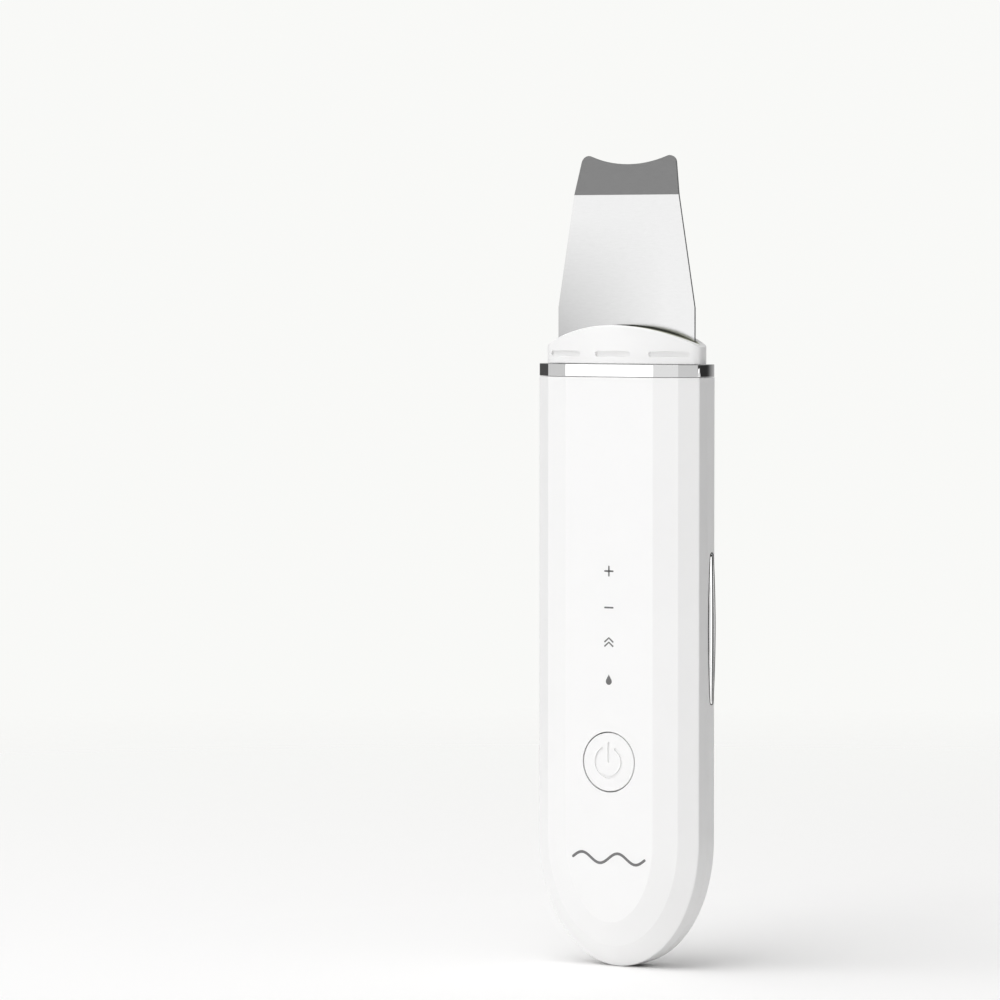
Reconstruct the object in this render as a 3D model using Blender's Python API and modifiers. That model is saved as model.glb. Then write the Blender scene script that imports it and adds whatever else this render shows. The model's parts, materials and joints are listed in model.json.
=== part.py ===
"""Hand-held ultrasonic skin scrubber: a white two-part handle with a round button, a chrome trim band,
an arched head collar and a bent steel blade, with the transducer, the board and the cell inside.

The part stands upright: +Z runs up the handle, the front (the button's side) faces -Y, and the origin
is the centre of the base of its box. Blender's unit is the metre; MM turns millimetres into it.
"""

import math

import bmesh
import bpy
from mathutils import Matrix

MM = 0.001
GAP = 0.3 * MM              # between pieces that touch on the real object
SEAM = 0.1 * MM             # between the casing's pieces, where the joint line shows
PAST = 1.0 * MM             # how far a cutter runs past what it cuts
WELD = 0.001 * MM

# Handle. Each facet edge has its distance inside the outline, and its depth from the joint plane.
HANDLE_HALF_WIDTH = 20.4 * MM
HANDLE_TOP = 128.1 * MM
END_CENTRE = 27.8 * MM      # of the half-ellipse that closes the lower end
END_DROP = 27.9 * MM        # to its lowest point, which the socket's hole cuts away
END_STEPS = 32
END_WIDENING = 0.7 * MM     # how much wider the outer facets are below the end than along the sides
WALL = 1.5 * MM
DRAFT = 0.15 * MM           # how far the sides lean in from the joint plane to the first facet edge
FACET_EDGES = ((DRAFT, 3.3 * MM), (4.0 * MM, 5.75 * MM), (9.35 * MM, 7.3 * MM))
FRONT = -1
REAR = 1

# Trim band and head collar
BAND_BASE = 128.2 * MM
BAND_TOP = 130.9 * MM
COLLAR_BASE = 131.0 * MM
COLLAR_FLOOR = 132.2 * MM
COLLAR_APEX = 139.35 * MM
COLLAR_HALF_WIDTH = 19.4 * MM
COLLAR_HALF_DEPTH = 6.0 * MM
COLLAR_PLAN_RADIUS = 48.2 * MM
COLLAR_ARCH_RADIUS = 43.8 * MM
COLLAR_WALL = 1.0 * MM
COLLAR_STEPS = 16
GROOVE_LENGTH = 8.9 * MM
GROOVE_HEIGHT = 1.2 * MM
GROOVE_DEPTH = 0.5 * MM
GROOVE_Z = 133.1 * MM
GROOVE_PITCH = 13.05 * MM

# Seal in the collar: level with the arch, with a lip along the blade that stands a little higher
SEAL_DROP = 0.1 * MM
LIP_HALF_WIDTH = 17.7 * MM
LIP_HALF_DEPTH = 1.0 * MM
LIP_APEX = 139.45 * MM
LIP_FALL = 3.3 * MM         # from the lip's middle to its ends
LIP_POWER = 2.6             # of the curve of its top, which is flatter in the middle than a circle
LIP_STEPS = 16

# Blade: a thin plate in the plane y = 0, whose tip is folded backwards
BLADE_THICKNESS = 0.5 * MM
BLADE_HALF_WIDTH = 17.2 * MM
ROOT_HALF_WIDTH = 11.0 * MM
ROOT_BASE = 108.0 * MM
SHOULDER_Z = 129.2 * MM
TAPER_START = 143.1 * MM
TAPER = 0.165               # how far each side comes in per unit of height
FOLD_Z = 167.5 * MM
FOLD_ANGLE = math.radians(8.4)
BLADE_TOP = 176.0 * MM
LOBE_HALF_SPACING = 10.2 * MM
LOBE_RADIUS = 1.75 * MM
EDGE_DIP = 1.9 * MM         # of the working edge between its two lobes

# Transducer
PIEZO_RADIUS = 8.0 * MM
PIEZO_THICKNESS = 1.0 * MM
PIEZO_Z = 115.5 * MM
CLAMP_BASE = 124.5 * MM
CLAMP_TOP = 127.5 * MM
CLAMP_HALF_WIDTH = 15.3 * MM
CLAMP_INNER = 1.45 * MM
CLAMP_OUTER = 3.3 * MM
CLAMP_SCREW_X = 13.2 * MM

# Button and switch
BUTTON_Z = 44.8 * MM
BUTTON_RADIUS = 6.4 * MM
BUTTON_HOLE_RADIUS = 6.6 * MM
FLANGE_RADIUS = 7.3 * MM
POST_TIP = -4.55 * MM
GUIDE_INNER_RADIUS = 7.7 * MM
GUIDE_OUTER_RADIUS = 8.7 * MM
GUIDE_END = -3.6 * MM
SWITCH_WIDTH = 6.0 * MM
SWITCH_FRONT = -3.3 * MM
SWITCH_FLOOR = -1.6 * MM
PLUNGER_RADIUS = 1.5 * MM
PLUNGER_END = -2.4 * MM

# Hand contact bars in the sides of the handle
BAR_BASE = 57.5 * MM
BAR_TOP = 90.3 * MM
BAR_Y = 2.0 * MM            # the bars lie in the rear half, just behind the joint
BAR_HALF_WIDTH = 1.6 * MM
BAR_END_HALF_WIDTH = 0.8 * MM
BAR_RISE = 0.45 * MM
BAR_INNER_X = 17.6 * MM
BAR_STEPS = 16

# Board and what sits on it
BOARD_HALF_WIDTH = 13.0 * MM
BOARD_BASE = 9.4 * MM
BOARD_TOP = 104.0 * MM
BOARD_FRONT = -0.6 * MM
BOARD_REAR = 0.4 * MM
BOARD_SCREWS = {"right": (8.0 * MM, 30.0 * MM), "left": (-8.0 * MM, 30.0 * MM), "top": (0.0, 101.0 * MM)}
POST_RADIUS = 2.3 * MM
POST_BORE_RADIUS = 1.0 * MM
POST_BORE_END = 5.0 * MM
SCREW_RADIUS = 0.7 * MM
SCREW_HEAD_RADIUS = 1.6 * MM
SCREW_HEAD_HEIGHT = 1.1 * MM
MARK_HEIGHTS = (86.2 * MM, 78.3 * MM, 70.9 * MM, 62.6 * MM)
WIRE_RADIUS = 0.45 * MM
SPRING_WIRE_RADIUS = 0.3 * MM

# Charging socket in the middle of the lower end
SOCKET_WIDTH = 8.94 * MM
SOCKET_DEPTH = 3.26 * MM
SOCKET_WALL = 0.3 * MM
SOCKET_MOUTH = 1.0 * MM
SOCKET_END = 8.8 * MM

# Turns a shape that is made along Z, so that it lies along another axis
ALONG = {
    "X": Matrix(((0, 0, 1, 0), (1, 0, 0, 0), (0, 1, 0, 0), (0, 0, 0, 1))),
    "Y": Matrix.Rotation(math.pi / 2, 4, "X"),
    "Z": Matrix.Identity(4),
}


# ---------------------------------------------------------------- scene, materials and placing

def clear_scene():
    for piece in list(bpy.data.objects):
        bpy.data.objects.remove(piece)


def new_collection(name):
    collection = bpy.data.collections.new(name)
    bpy.context.scene.collection.children.link(collection)
    return collection


def new_material(name, colour, roughness, metallic=0.0):
    material = bpy.data.materials.new(name)
    material.use_nodes = True
    shader = material.node_tree.nodes["Principled BSDF"]
    shader.inputs["Base Color"].default_value = (*colour, 1.0)
    shader.inputs["Roughness"].default_value = roughness
    shader.inputs["Metallic"].default_value = metallic
    return material


def place(name, mesh, material, location=(0, 0, 0), rotation=(0, 0, 0)):
    """Puts a mesh or a curve in the model as one named piece."""
    piece = bpy.data.objects.new(name, mesh)
    mesh.materials.append(material)
    piece.location = location
    piece.rotation_euler = rotation
    model.objects.link(piece)
    return piece


def tool(name, mesh, location=(0, 0, 0), rotation=(0, 0, 0)):
    """Puts a mesh among the cutters: it shapes a piece, and isn't one."""
    guide = bpy.data.objects.new(name, mesh)
    guide.location = location
    guide.rotation_euler = rotation
    guide.hide_render = True
    guide.display_type = "WIRE"
    cutters.objects.link(guide)
    return guide


def combine(piece, guide, operation="DIFFERENCE"):
    boolean = piece.modifiers.new(f"{operation.lower()} {guide.name}", "BOOLEAN")
    boolean.operation = operation
    boolean.solver = "EXACT"
    boolean.object = guide


# ---------------------------------------------------------------- basic shapes

def to_mesh(name, bm):
    """Ends a closed mesh with its faces pointing out. A very slender one can come out reversed at first."""
    bmesh.ops.recalc_face_normals(bm, faces=bm.faces)
    if bm.calc_volume(signed=True) < 0:
        bmesh.ops.reverse_faces(bm, faces=bm.faces)
    mesh = bpy.data.meshes.new(name)
    bm.to_mesh(mesh)
    bm.free()
    return mesh


def block(name, width, depth, height):
    bm = bmesh.new()
    bmesh.ops.create_cube(bm, size=1.0, matrix=Matrix.Diagonal((width, depth, height, 1.0)))
    return to_mesh(name, bm)


def rod(name, radius, length, axis="Y", segments=24):
    bm = bmesh.new()
    bmesh.ops.create_cone(bm, cap_ends=True, segments=segments, radius1=radius, radius2=radius,
                          depth=length, matrix=ALONG[axis])
    mesh = to_mesh(name, bm)
    mesh.shade_smooth()
    mesh.set_sharp_from_angle(angle=math.radians(30))
    return mesh


def plate(name, outlines, thickness, axis="Z"):
    """Closed outlines, extruded to both sides of their plane. An outline inside another one is a hole."""
    curve = bpy.data.curves.new(name, "CURVE")
    curve.dimensions = "2D"
    curve.fill_mode = "BOTH"
    curve.extrude = thickness / 2
    for outline in outlines:
        spline = curve.splines.new("POLY")
        spline.points.add(len(outline) - 1)
        for point, (u, v) in zip(spline.points, outline):
            point.co = (u, v, 0, 1)
        spline.use_cyclic_u = True
    guide = bpy.data.objects.new(name, curve)
    bpy.context.scene.collection.objects.link(guide)
    bpy.context.view_layer.update()
    mesh = bpy.data.meshes.new_from_object(guide.evaluated_get(bpy.context.evaluated_depsgraph_get()))
    bpy.data.objects.remove(guide)
    bm = bmesh.new()
    bm.from_mesh(mesh)
    bmesh.ops.remove_doubles(bm, verts=bm.verts, dist=WELD)
    bm.transform(ALONG[axis])
    return to_mesh(name, bm)


def loft(name, rings):
    """A closed solid through rings that all have the same number of points."""
    bm = bmesh.new()
    rows = [[bm.verts.new(point) for point in ring] for ring in rings]
    count = len(rows[0])
    for row, following in zip(rows, rows[1:]):
        for i in range(count):
            j = (i + 1) % count
            bm.faces.new((row[i], row[j], following[j], following[i]))
    bm.faces.new(rows[0])
    bm.faces.new(rows[-1])
    return to_mesh(name, bm)


def turned(name, profile):
    """A profile of (radius, height), listed down its outer side, turned about the local Z axis."""
    mesh = bpy.data.meshes.new(name)
    links = [(i, i + 1) for i in range(len(profile) - 1)]
    mesh.from_pydata([(radius, 0, height) for radius, height in profile], links, [])
    return mesh


def add_screw(piece, steps):
    screw = piece.modifiers.new("turn", "SCREW")
    screw.steps = steps
    screw.render_steps = steps
    screw.use_merge_vertices = True
    screw.merge_threshold = WELD


def wire(name, points, radius):
    """A wire along the points: a curve with filled ends."""
    curve = bpy.data.curves.new(name, "CURVE")
    curve.dimensions = "3D"
    curve.bevel_depth = radius
    curve.bevel_resolution = 2
    curve.use_fill_caps = True
    spline = curve.splines.new("POLY")
    spline.points.add(len(points) - 1)
    for point, place_at in zip(spline.points, points):
        point.co = (*place_at, 1)
    return curve


# ---------------------------------------------------------------- outlines

def arc(centre_x, centre_y, radius, start, end, steps):
    """Points of an arc, with both its ends, angles in radians."""
    angles = [start + (end - start) * step / steps for step in range(steps + 1)]
    return [(centre_x + radius * math.cos(a), centre_y + radius * math.sin(a)) for a in angles]


def capsule(length, width, steps=8):
    """A slot's outline, long in its first direction and round at both ends."""
    radius = width / 2
    reach = length / 2 - radius
    quarter = math.pi / 2
    return arc(reach, 0, radius, -quarter, quarter, steps) + arc(-reach, 0, radius, quarter, 3 * quarter, steps)


def bar_outline(margin):
    """A contact bar seen from the side: (Y, Z) about its middle, widest there, with blunt ends."""
    half_length = (BAR_TOP - BAR_BASE) / 2 + margin
    bulge = BAR_HALF_WIDTH - BAR_END_HALF_WIDTH
    radius = (half_length ** 2 + bulge ** 2) / (2 * bulge)
    reach = math.asin(half_length / radius)
    rear = arc(BAR_HALF_WIDTH + margin - radius, 0, radius, -reach, reach, BAR_STEPS)
    return rear + [(-y, z) for y, z in reversed(rear)]


def handle_outline(inset, top):
    """The handle seen from the front, moved inwards by inset: two straight sides on a half-ellipse."""
    half_width = HANDLE_HALF_WIDTH - inset
    drop = END_DROP - inset - END_WIDENING * min(inset / FACET_EDGES[1][0], 1.0)
    angles = [math.pi * step / END_STEPS for step in range(END_STEPS + 1)]
    end = [(half_width * math.cos(a), END_CENTRE - drop * math.sin(a)) for a in angles]
    return [(half_width, top), *end, (-half_width, top)]


def edges_inside(edges, distance):
    """The facet edges of the handle's shape, moved in by a wall's thickness with mitred corners."""
    runs = [(0.0, 1.0)]
    for (inset, depth), (next_inset, next_depth) in zip(edges, edges[1:]):
        length = math.hypot(next_inset - inset, next_depth - depth)
        runs.append(((next_inset - inset) / length, (next_depth - depth) / length))
    runs.append((1.0, 0.0))
    moved = []
    for (inset, depth), before, after in zip(edges, runs, runs[1:]):
        scale = distance / (1 + before[0] * after[0] + before[1] * after[1])
        moved.append((inset + scale * (before[1] + after[1]), depth - scale * (before[0] + after[0])))
    return moved


def section_outline(edges):
    """The handle's cross-section seen from above, from its facet edges."""
    corners = [(HANDLE_HALF_WIDTH - inset, depth) for inset, depth in [(edges[0][0] - DRAFT, 0.0), *edges]]
    rear = corners + [(-x, y) for x, y in reversed(corners)]
    return rear + [(x, -y) for x, y in reversed(rear[1:-1])]


def collar_outline(inset):
    """The head seen from above: two shallow arcs, front and rear, on short flat sides."""
    radius = COLLAR_PLAN_RADIUS - inset
    reach = math.asin((COLLAR_HALF_WIDTH - inset) / radius)
    centre = COLLAR_PLAN_RADIUS - COLLAR_HALF_DEPTH
    quarter = math.pi / 2
    front = arc(0, centre, radius, -quarter - reach, -quarter + reach, COLLAR_STEPS)
    return front + [(-x, -y) for x, y in front]


def tip_outline():
    """The blade's folded tip: (X, distance from the fold), from the fold's right end round to its left."""
    fold_half_width = BLADE_HALF_WIDTH - TAPER * (FOLD_Z - TAPER_START)
    length = (BLADE_TOP - FOLD_Z) / math.cos(FOLD_ANGLE)
    lobe_height = length - LOBE_RADIUS
    radii = (LOBE_HALF_SPACING ** 2 + EDGE_DIP ** 2) / (2 * EDGE_DIP)
    lean = math.atan2(LOBE_HALF_SPACING, radii - EDGE_DIP)
    up = math.pi / 2
    right_lobe = arc(LOBE_HALF_SPACING, lobe_height, LOBE_RADIUS, math.atan(TAPER), up + lean, 10)
    edge = arc(0, lobe_height + radii - EDGE_DIP, radii - LOBE_RADIUS, lean - up, -lean - up, 14)
    left_lobe = [(-x, y) for x, y in reversed(right_lobe)]
    return [(fold_half_width, 0.0), *right_lobe, *edge[1:-1], *left_lobe, (-fold_half_width, 0.0)]


# ---------------------------------------------------------------- casing

def half_handle(name, edges, start, top, side):
    """Half of the handle's shape, from a plane near the joint out to the flat face on one side."""
    levels = [(edges[0][0] - DRAFT, start), *edges]
    return loft(name, [[(x, side * depth, z) for x, z in handle_outline(inset, top)]
                       for inset, depth in levels])


def make_shell(name, side):
    """A hollow half of the handle, with its share of the socket's hole."""
    shell = place(name, half_handle(name, FACET_EDGES, SEAM / 2, HANDLE_TOP, side), white_plastic)
    inner_edges = edges_inside(FACET_EDGES, WALL)
    combine(shell, tool(f"{name}_cavity", half_handle("cavity", inner_edges, -PAST, HANDLE_TOP + PAST, side)))
    hole = plate("socket_hole", [capsule(SOCKET_WIDTH + 2 * GAP, SOCKET_DEPTH + 2 * GAP)], 4 * WALL)
    combine(shell, tool(f"{name}_socket_hole", hole, (0, 0, WALL)))
    return shell


def make_front_housing():
    """The front half: a round hole for the button, with a guide ring behind it."""
    housing = make_shell("front_housing", FRONT)
    inner_face = -FACET_EDGES[-1][1] + WALL
    ring_front = inner_face - WALL / 2
    ring = rod("guide_ring", GUIDE_OUTER_RADIUS, GUIDE_END - ring_front, segments=40)
    combine(housing, tool("guide_ring", ring, (0, (GUIDE_END + ring_front) / 2, BUTTON_Z)), "UNION")
    bore = rod("guide_bore", GUIDE_INNER_RADIUS, GUIDE_END + PAST - inner_face, segments=40)
    combine(housing, tool("guide_bore", bore, (0, (GUIDE_END + PAST + inner_face) / 2, BUTTON_Z)))
    hole = rod("button_hole", BUTTON_HOLE_RADIUS, 4 * WALL, segments=40)
    combine(housing, tool("button_hole", hole, (0, inner_face, BUTTON_Z)))


def make_rear_housing():
    """The rear half: slots for the contact bars, and three posts that the board is screwed to."""
    housing = make_shell("rear_housing", REAR)
    slot = plate("bar_slot", [bar_outline(GAP)], 4 * WALL, "X")
    for word, direction in (("right", 1), ("left", -1)):
        at = (direction * HANDLE_HALF_WIDTH, BAR_Y, (BAR_BASE + BAR_TOP) / 2)
        combine(housing, tool(f"bar_slot_{word}", slot, at))
    post_front = BOARD_REAR + GAP
    post_rear = FACET_EDGES[-1][1] - WALL / 2
    for name, (x, z) in BOARD_SCREWS.items():
        post = rod("post", POST_RADIUS, post_rear - post_front, segments=16)
        combine(housing, tool(f"post_{name}", post, (x, (post_front + post_rear) / 2, z)), "UNION")
    for name, (x, z) in BOARD_SCREWS.items():
        bore = rod("post_bore", POST_BORE_RADIUS, POST_BORE_END - post_front + PAST, segments=16)
        combine(housing, tool(f"post_bore_{name}", bore, (x, (post_front - PAST + POST_BORE_END) / 2, z)))


def make_trim_band():
    outlines = [section_outline(FACET_EDGES), section_outline(edges_inside(FACET_EDGES, WALL))]
    band = plate("trim_band", outlines, BAND_TOP - BAND_BASE)
    place("trim_band", band, chrome, (0, 0, (BAND_BASE + BAND_TOP) / 2))


def arch_solid(lowered):
    """What lies under the head's arched top, when that is lowered a little."""
    half_width = COLLAR_HALF_WIDTH + PAST
    reach = math.asin(half_width / COLLAR_ARCH_RADIUS)
    top = arc(0, COLLAR_APEX - lowered - COLLAR_ARCH_RADIUS, COLLAR_ARCH_RADIUS,
              math.pi / 2 - reach, math.pi / 2 + reach, COLLAR_STEPS)
    below = COLLAR_BASE - PAST
    return plate("arch", [[*top, (-half_width, below), (half_width, below)]], 4 * COLLAR_HALF_DEPTH, "Y")


def make_head_collar():
    """The arched white cap: hollow from above, slotted for the blade, with pill grooves front and rear."""
    above = COLLAR_APEX + PAST
    middle = (COLLAR_BASE + above) / 2
    collar = place("head_collar", plate("head_collar", [collar_outline(0)], above - COLLAR_BASE),
                   white_plastic, (0, 0, middle))
    combine(collar, tool("collar_arch", arch_solid(0)), "INTERSECT")
    hollow = plate("collar_hollow", [collar_outline(COLLAR_WALL)], above + PAST - COLLAR_FLOOR)
    combine(collar, tool("collar_hollow", hollow, (0, 0, (above + PAST + COLLAR_FLOOR) / 2)))
    slot = block("blade_slot", 2 * (BLADE_HALF_WIDTH + GAP), BLADE_THICKNESS + 2 * GAP, 4 * PAST)
    combine(collar, tool("blade_slot", slot, (0, 0, COLLAR_BASE)))
    groove = plate("collar_groove", [capsule(GROOVE_LENGTH, GROOVE_HEIGHT)], 2 * GROOVE_DEPTH, "Y")
    centre = COLLAR_PLAN_RADIUS - COLLAR_HALF_DEPTH
    for side in (FRONT, REAR):
        for place_number in (-1, 0, 1):
            angle = math.asin(place_number * GROOVE_PITCH / COLLAR_PLAN_RADIUS)
            at = (COLLAR_PLAN_RADIUS * math.sin(angle),
                  side * (COLLAR_PLAN_RADIUS * math.cos(angle) - centre), GROOVE_Z)
            combine(collar, tool("collar_groove", groove, at, (0, 0, -side * angle)))


# ---------------------------------------------------------------- blade and transducer

def make_scraper_blade():
    """One folded plate: the root inside the handle, the straight and tapered face, and the bent tip."""
    tip = tip_outline()
    fold_half_width = tip[0][0]
    face = [(ROOT_HALF_WIDTH, ROOT_BASE), (ROOT_HALF_WIDTH, SHOULDER_Z), (BLADE_HALF_WIDTH, SHOULDER_Z),
            (BLADE_HALF_WIDTH, TAPER_START), (fold_half_width, FOLD_Z)]
    bm = bmesh.new()
    right = [bm.verts.new((x, 0, z)) for x, z in face]
    left = [bm.verts.new((-x, 0, z)) for x, z in reversed(face)]
    rise, run = math.cos(FOLD_ANGLE), math.sin(FOLD_ANGLE)
    beyond = [bm.verts.new((x, s * run, FOLD_Z + s * rise)) for x, s in tip[1:-1]]
    bm.faces.new(right + left)
    bm.faces.new([right[-1], *beyond, left[0]])
    blade = place("scraper_blade", to_mesh("scraper_blade", bm), blade_steel)
    solidify = blade.modifiers.new("sheet thickness", "SOLIDIFY")
    solidify.thickness = BLADE_THICKNESS
    solidify.offset = 0
    solidify.use_even_offset = True


def make_blade_seal():
    """Rubber that fills the collar round the blade, with a lip along the blade's faces and ends."""
    base = COLLAR_FLOOR + SEAM
    above = COLLAR_APEX + PAST
    body = plate("blade_seal", [collar_outline(COLLAR_WALL + SEAM)], above - base)
    seal = place("blade_seal", body, seal_rubber, (0, 0, (above + base) / 2))
    combine(seal, tool("seal_arch", arch_solid(SEAL_DROP)), "INTERSECT")
    shares = [2 * step / LIP_STEPS - 1 for step in range(LIP_STEPS + 1)]
    lip = [(LIP_HALF_WIDTH * t, LIP_APEX - LIP_FALL * abs(t) ** LIP_POWER) for t in shares]
    inside = base + PAST
    lip_plate = plate("seal_lip", [[*lip, (LIP_HALF_WIDTH, inside), (-LIP_HALF_WIDTH, inside)]],
                      2 * LIP_HALF_DEPTH, "Y")
    combine(seal, tool("seal_lip", lip_plate), "UNION")
    slot = block("seal_slot", 2 * (BLADE_HALF_WIDTH + GAP), BLADE_THICKNESS + 2 * GAP, 4 * (above - base))
    combine(seal, tool("seal_slot", slot, (0, 0, base)))


def make_transducer():
    """Piezo discs on both faces of the blade's root, and rubber-lined bars that clamp the root above them."""
    disc_y = BLADE_THICKNESS / 2 + SEAM + PIEZO_THICKNESS / 2
    damper_inner = BLADE_THICKNESS / 2 + GAP
    damper_outer = CLAMP_INNER - GAP
    clamp_z = (CLAMP_BASE + CLAMP_TOP) / 2
    clamp_height = CLAMP_TOP - CLAMP_BASE
    for side, word in ((FRONT, "front"), (REAR, "rear")):
        disc = rod(f"piezo_disc_{word}", PIEZO_RADIUS, PIEZO_THICKNESS, segments=32)
        place(f"piezo_disc_{word}", disc, piezo_ceramic, (0, side * disc_y, PIEZO_Z))
        damper = block(f"damper_{word}", 2 * (ROOT_HALF_WIDTH - GAP), damper_outer - damper_inner, clamp_height)
        place(f"damper_{word}", damper, seal_rubber, (0, side * (damper_inner + damper_outer) / 2, clamp_z))
        bar = block(f"blade_clamp_{word}", 2 * CLAMP_HALF_WIDTH, CLAMP_OUTER - CLAMP_INNER, clamp_height)
        clamp = place(f"blade_clamp_{word}", bar, grey_plastic, (0, side * (CLAMP_INNER + CLAMP_OUTER) / 2, clamp_z))
        for direction in (-1, 1):
            hole = rod("clamp_hole", SCREW_RADIUS + GAP, 4 * CLAMP_OUTER, segments=16)
            combine(clamp, tool("clamp_hole", hole, (direction * CLAMP_SCREW_X, 0, clamp_z)))
    for word, direction in (("right", 1), ("left", -1)):
        make_screw(f"clamp_screw_{word}", direction * CLAMP_SCREW_X, clamp_z, -CLAMP_OUTER, CLAMP_OUTER)


def make_screw(name, x, z, seat, end):
    """A pan-head screw along +Y: its head rests on the seat, and its shank runs to the end."""
    tip = end - seat - GAP
    shank_top = SCREW_RADIUS / 2
    profile = [(0, SCREW_HEAD_HEIGHT + GAP), (0.7 * SCREW_HEAD_RADIUS, SCREW_HEAD_HEIGHT + GAP),
               (SCREW_HEAD_RADIUS, 0.6 * SCREW_HEAD_HEIGHT + GAP), (SCREW_HEAD_RADIUS, GAP),
               (SCREW_RADIUS, GAP), (SCREW_RADIUS, shank_top - tip), (0, -tip)]
    mesh = turned(name, profile)
    screw = place(name, mesh, screw_steel, (x, seat, z), (math.pi / 2, 0, 0))
    add_screw(screw, 16)


# ---------------------------------------------------------------- button and switch

def make_power_button():
    """Round cap, flush with the front, with a flange that holds it in and a post that works the switch."""
    face = FACET_EDGES[-1][1]
    flange_front = face - WALL - GAP
    flange_rear = flange_front - 0.7 * MM
    profile = [(0, face), (BUTTON_RADIUS - 0.2 * MM, face), (BUTTON_RADIUS, face - 0.2 * MM),
               (BUTTON_RADIUS, flange_front), (FLANGE_RADIUS, flange_front), (FLANGE_RADIUS, flange_rear),
               (FLANGE_RADIUS - 1.6 * MM, flange_rear), (FLANGE_RADIUS - 1.6 * MM, flange_front),
               (PLUNGER_RADIUS, flange_front), (PLUNGER_RADIUS, -POST_TIP), (0, -POST_TIP)]
    mesh = turned("power_button", profile)
    button = place("power_button", mesh, white_plastic, (0, 0, BUTTON_Z), (math.pi / 2, 0, 0))
    add_screw(button, 40)
    plunger_tip = POST_TIP + GAP
    plunger = rod("switch_plunger", PLUNGER_RADIUS, PLUNGER_END - plunger_tip, segments=20)
    place("switch_plunger", plunger, black_plastic, (0, (plunger_tip + PLUNGER_END) / 2, BUTTON_Z))


def make_switch():
    rear = BOARD_FRONT - GAP
    body = block("switch_body", SWITCH_WIDTH, rear - SWITCH_FRONT, SWITCH_WIDTH)
    switch = place("switch_body", body, black_plastic, (0, (rear + SWITCH_FRONT) / 2, BUTTON_Z))
    bore = rod("switch_bore", PLUNGER_RADIUS + GAP, SWITCH_FLOOR - SWITCH_FRONT + PAST, segments=20)
    combine(switch, tool("switch_bore", bore, (0, (SWITCH_FLOOR + SWITCH_FRONT - PAST) / 2, BUTTON_Z)))


# ---------------------------------------------------------------- hand contact bars

def make_contact_bars():
    """A bowed metal bar through the casing on each side, and the wire spring that joins it to the board."""
    half_length = (BAR_TOP - BAR_BASE) / 2
    radius = (half_length ** 2 + BAR_RISE ** 2) / (2 * BAR_RISE)
    reach = math.asin(half_length / radius)
    middle = (BAR_BASE + BAR_TOP) / 2
    crown = HANDLE_HALF_WIDTH + BAR_RISE
    bow = arc(crown - radius, 0, radius, -reach, reach, BAR_STEPS)
    bow += [(BAR_INNER_X, half_length), (BAR_INNER_X, -half_length)]
    lens = plate("bar_lens", [bar_outline(0)], 2 * crown, "X")
    for word, side in (("right", 1), ("left", -1)):
        shape = plate(f"hand_electrode_{word}", [[(side * x, z) for x, z in bow]], 4 * BAR_HALF_WIDTH, "Y")
        bar = place(f"hand_electrode_{word}", shape, chrome, (0, BAR_Y, middle))
        combine(bar, tool(f"bar_lens_{word}", lens, (side * crown, BAR_Y, middle)), "INTERSECT")
        outer = BAR_INNER_X - GAP - SPRING_WIRE_RADIUS
        inner = BOARD_HALF_WIDTH + GAP + SPRING_WIRE_RADIUS
        turns = [step / 10 for step in range(11)]
        rises = [math.sin(math.pi * t) for t in turns]
        points = [(side * (inner + (outer - inner) * rise), BOARD_FRONT / 2 + BAR_Y * rise,
                   (t - 0.5) * half_length) for t, rise in zip(turns, rises)]
        place(f"electrode_spring_{word}", wire("electrode_spring", points, SPRING_WIRE_RADIUS), spring_bronze,
              (0, 0, middle))


# ---------------------------------------------------------------- board

def make_main_board():
    height = BOARD_TOP - BOARD_BASE
    board = place("main_board", block("main_board", 2 * BOARD_HALF_WIDTH, BOARD_REAR - BOARD_FRONT, height),
                  board_green, (0, (BOARD_FRONT + BOARD_REAR) / 2, BOARD_BASE + height / 2))
    for word, (x, z) in BOARD_SCREWS.items():
        hole = rod("board_hole", SCREW_RADIUS + GAP, 4 * MM, segments=16)
        combine(board, tool(f"board_hole_{word}", hole, (x, 0, z)))
        make_screw(f"board_screw_{word}", x, z, BOARD_FRONT, POST_BORE_END - GAP)


def on_board(name, x, z, width, height, thickness, material):
    """A block-shaped component on the board's front face."""
    y = BOARD_FRONT - GAP - thickness / 2
    return place(name, block(name, width, thickness, height), material, (x, y, z))


def make_board_components():
    on_board("microcontroller", 8.7 * MM, 74.0 * MM, 5.0 * MM, 5.0 * MM, 0.9 * MM, black_plastic)
    on_board("charge_chip", 0.0, 22.0 * MM, 4.9 * MM, 3.9 * MM, 1.4 * MM, black_plastic)
    on_board("driver_transistor", -8.7 * MM, 82.0 * MM, 6.5 * MM, 6.1 * MM, 2.2 * MM, black_plastic)
    core = on_board("drive_transformer", -7.0 * MM, 94.5 * MM, 8.6 * MM, 7.8 * MM, 3.9 * MM, ferrite)
    bevel = core.modifiers.new("rounded corners", "BEVEL")
    bevel.width = 0.5 * MM
    bevel.segments = 2
    can_radius = 2.0 * MM
    can = rod("filter_capacitor", can_radius, 7.0 * MM, "Z", segments=24)
    place("filter_capacitor", can, capacitor_blue,
          (8.0 * MM, BOARD_FRONT - GAP - can_radius, 92.5 * MM))
    for number, z in enumerate(MARK_HEIGHTS, start=1):
        on_board(f"mode_led_{number}", 0.0, z, 1.6 * MM, 0.8 * MM, 0.7 * MM, led_lens)


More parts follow.
